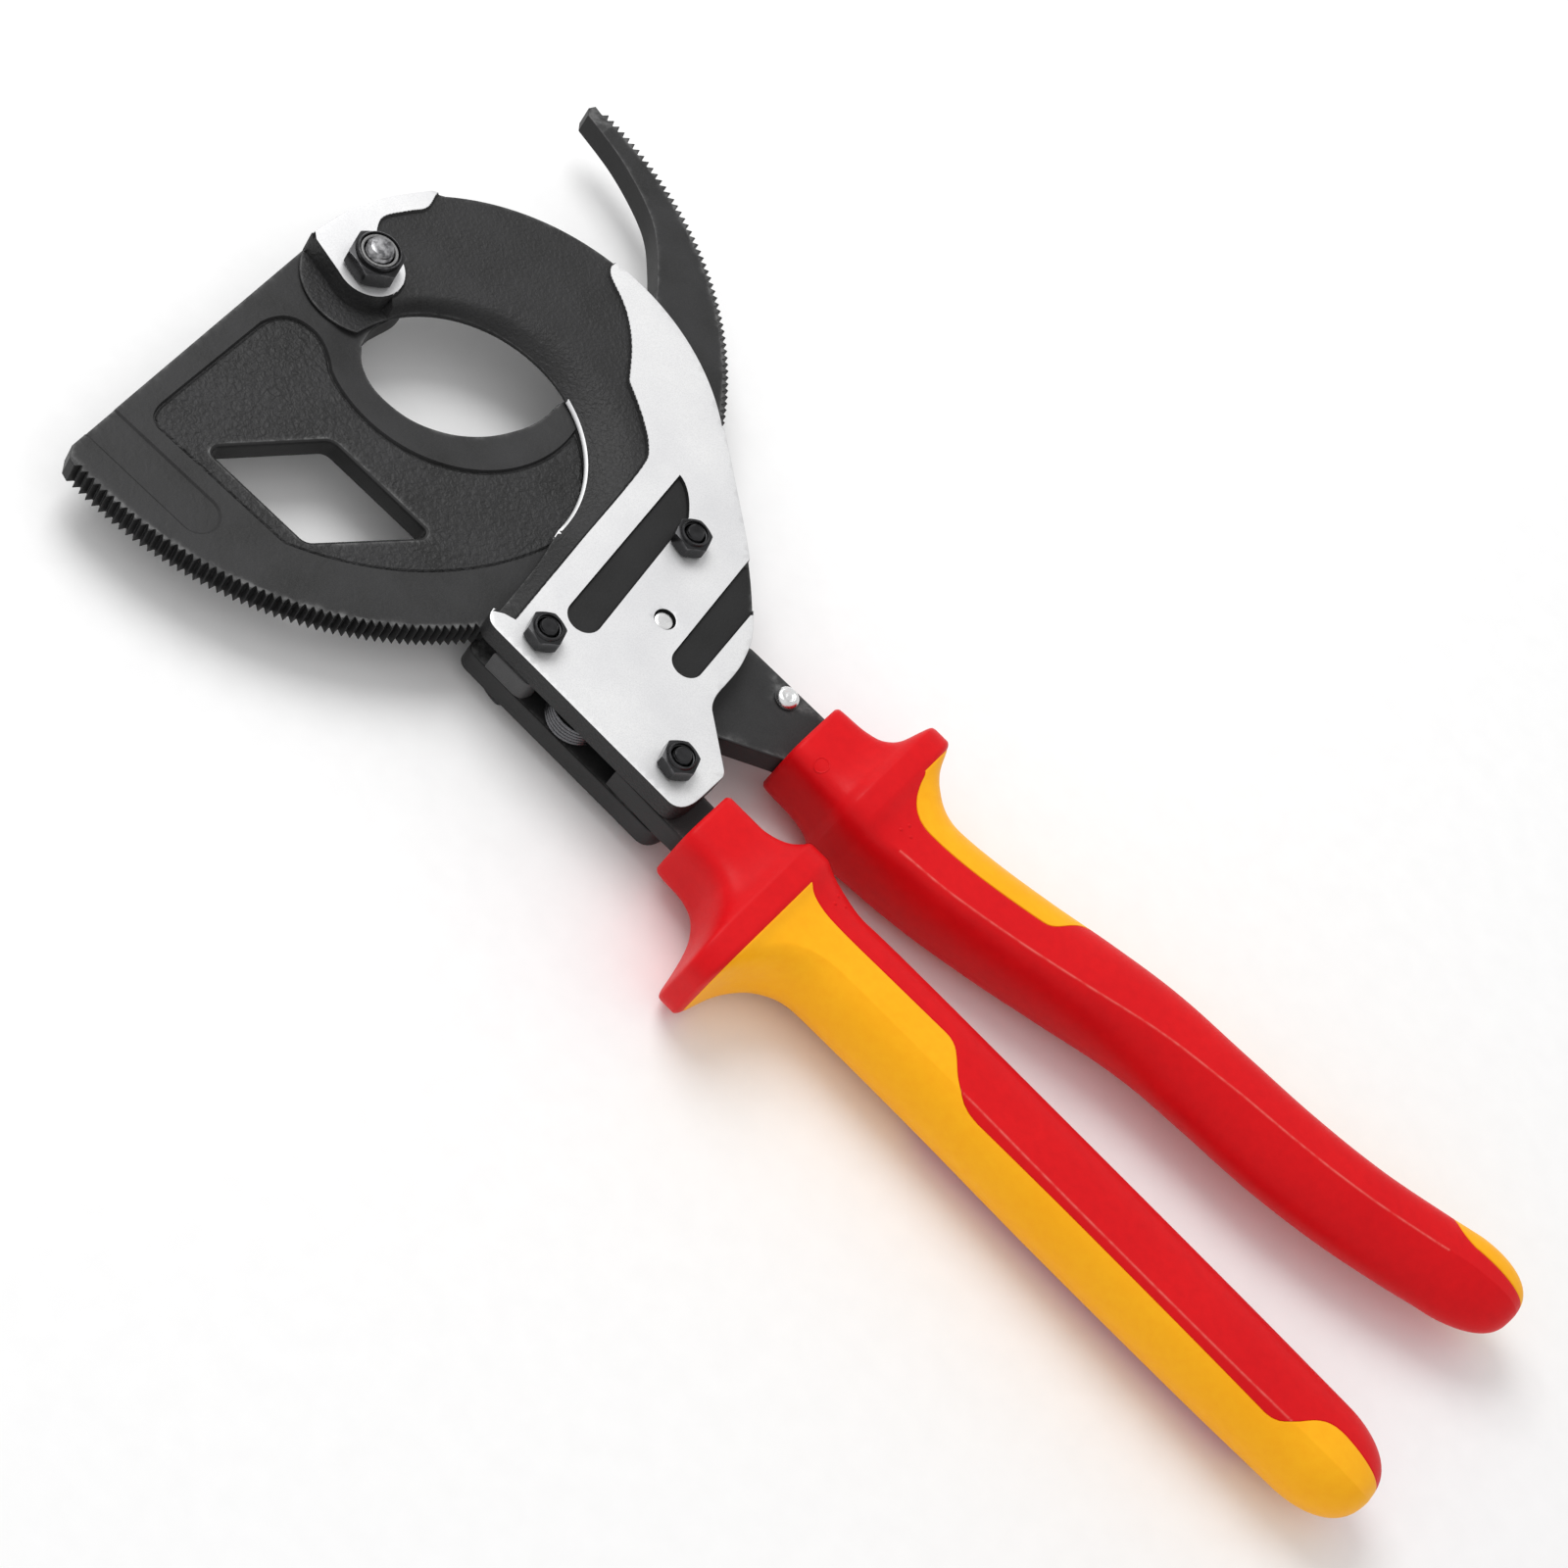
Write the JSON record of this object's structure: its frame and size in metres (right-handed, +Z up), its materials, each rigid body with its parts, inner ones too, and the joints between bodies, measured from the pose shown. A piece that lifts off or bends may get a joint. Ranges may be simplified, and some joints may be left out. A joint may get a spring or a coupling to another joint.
{
  "type": "ratcheting cable cutter",
  "caption": "Hand-held ratcheting cable cutter with a toothed sector blade, a fixed hooked jaw, a bolted plate frame and insulated red and yellow handles.",
  "frame": {"origin": "middle of the footprint, on the plane that the tool lies on", "axes": "+X from the jaw to the handle ends, +Y towards the fixed jaw and the moving handle, +Z up out of the front face"},
  "size_m": [0.3218, 0.16, 0.0275],
  "materials": {
    "ground_steel": "fine ground, light grey, with blackened sunken fields",
    "black_steel": "black phosphated steel, satin",
    "blade_steel": "black phosphated forging, pebbled panel and smooth cutting rim",
    "black_fastener": "black oxide, slightly oily",
    "nylon": "grey nylon",
    "pin_steel": "ground pin end",
    "spring_steel": "dark drawn spring wire",
    "bright_rivet": "bright domed rivet",
    "red_plastic": "red insulating plastic, fine moulded grain",
    "yellow_plastic": "yellow-orange soft insulating plastic, fine moulded grain"
  },
  "bodies": {
    "frame": {"front_plate_with_fixed_jaw": "ground_steel", "rear_guide_plate": "black_steel", "pivot_bolt": "black_fastener", "pivot_nut": "black_fastener", "pivot_nut_insert": "nylon", "frame_bolt_1": "black_fastener", "frame_bolt_2": "black_fastener", "frame_bolt_3": "black_fastener", "frame_nut_1": "black_fastener", "frame_nut_2": "black_fastener", "frame_nut_3": "black_fastener", "lever_axle_pin": "pin_steel", "spring_post": "black_steel", "handle_spring": "spring_steel", "fixed_handle_bar": "black_steel", "fixed_grip_core": "red_plastic", "fixed_grip_inlay": "yellow_plastic"},
    "blade": {"toothed_blade": "blade_steel"},
    "moving_handle": {"moving_handle_bar": "black_steel", "bar_rivet": "bright_rivet", "moving_grip_core": "red_plastic", "moving_grip_inlay": "yellow_plastic"},
    "holding_pawl": {"holding_pawl": "black_steel"},
    "drive_pawl": {"drive_pawl": "black_steel"}
  },
  "joints": [
    {"name": "blade_swing", "type": "hinge", "parent": "frame", "child": "blade", "pos_m": [-0.14834, 0.00001, 0.0123], "axis": [0, 0, 1], "range_deg": [-125, 64]},
    {"name": "handle_swing", "type": "hinge", "parent": "frame", "child": "moving_handle", "pos_m": [-0.05664, -0.01059, 0.0123], "axis": [0, 0, 1], "range_deg": [0, 26]},
    {"name": "holding_pawl_release", "type": "hinge", "parent": "frame", "child": "holding_pawl", "pos_m": [-0.06964, -0.03519, 0.0123], "axis": [0, 0, -1], "range_deg": [0, 12], "stiffness_Nm_per_rad": 0.02, "springref_deg": -17.19},
    {"name": "drive_pawl_lift", "type": "hinge", "parent": "moving_handle", "child": "drive_pawl", "pos_m": [-0.06344, -0.00819, 0.0123], "axis": [0, 0, 1], "range_deg": [0, 10], "stiffness_Nm_per_rad": 0.01, "springref_deg": -17.19}
  ]
}
